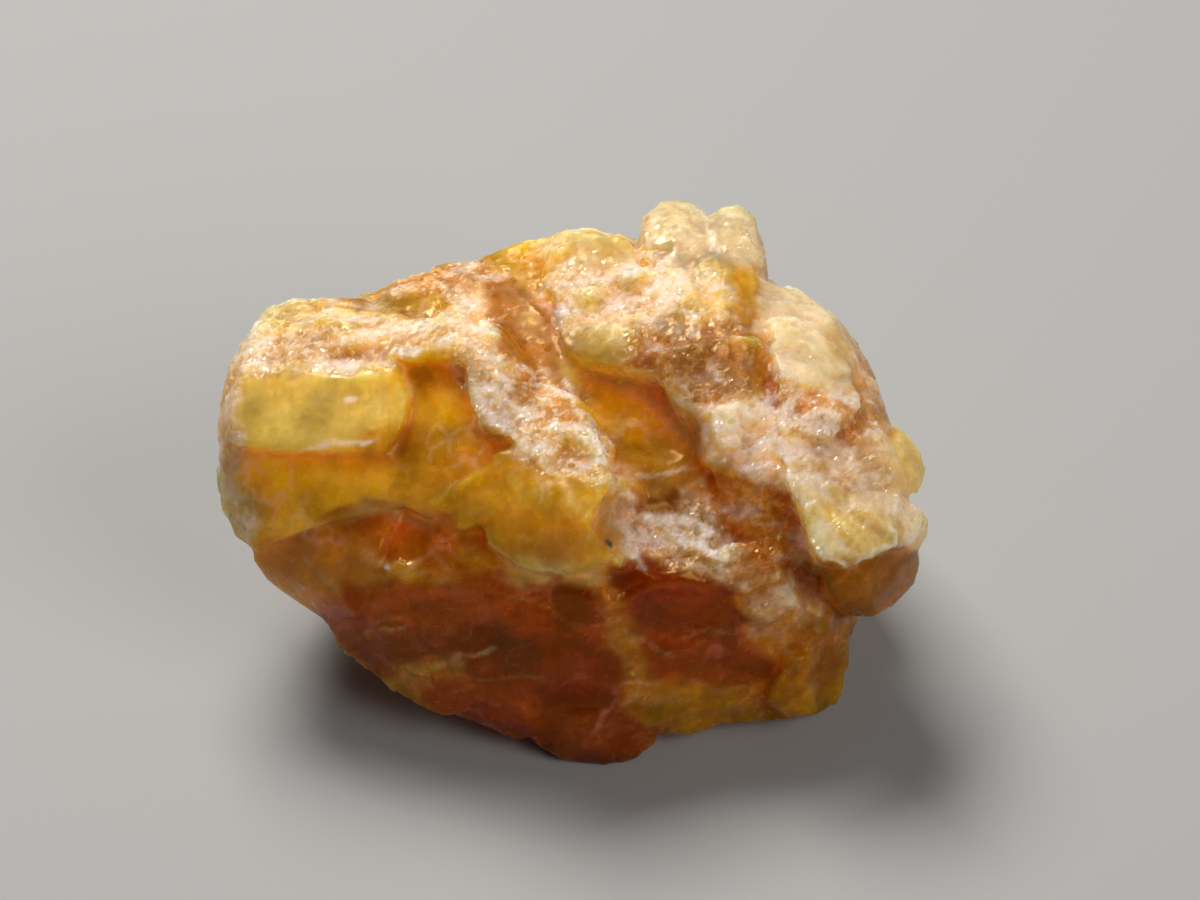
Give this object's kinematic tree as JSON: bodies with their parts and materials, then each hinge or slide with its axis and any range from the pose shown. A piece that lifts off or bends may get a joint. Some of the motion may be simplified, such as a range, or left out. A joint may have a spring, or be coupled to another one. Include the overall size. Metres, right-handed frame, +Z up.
{
  "type": "raw danburite crystal",
  "caption": "Rough honey-yellow danburite crystal, broken all round, lying on one flat fracture face; a display stone or rock sample.",
  "frame": {"origin": "on the surface the stone lies on, below the middle of its box", "axes": "+Z up; +X to the right along the stone's length; +Y away from the viewer, so the broad face looks towards -Y and up"},
  "size_m": [0.0362, 0.0264, 0.0209],
  "materials": {
    "honey_crystal": "translucent, smooth cleavage faces between frosted ridges"
  },
  "bodies": {
    "root": {"danburite": "honey_crystal"}
  },
  "joints": []
}
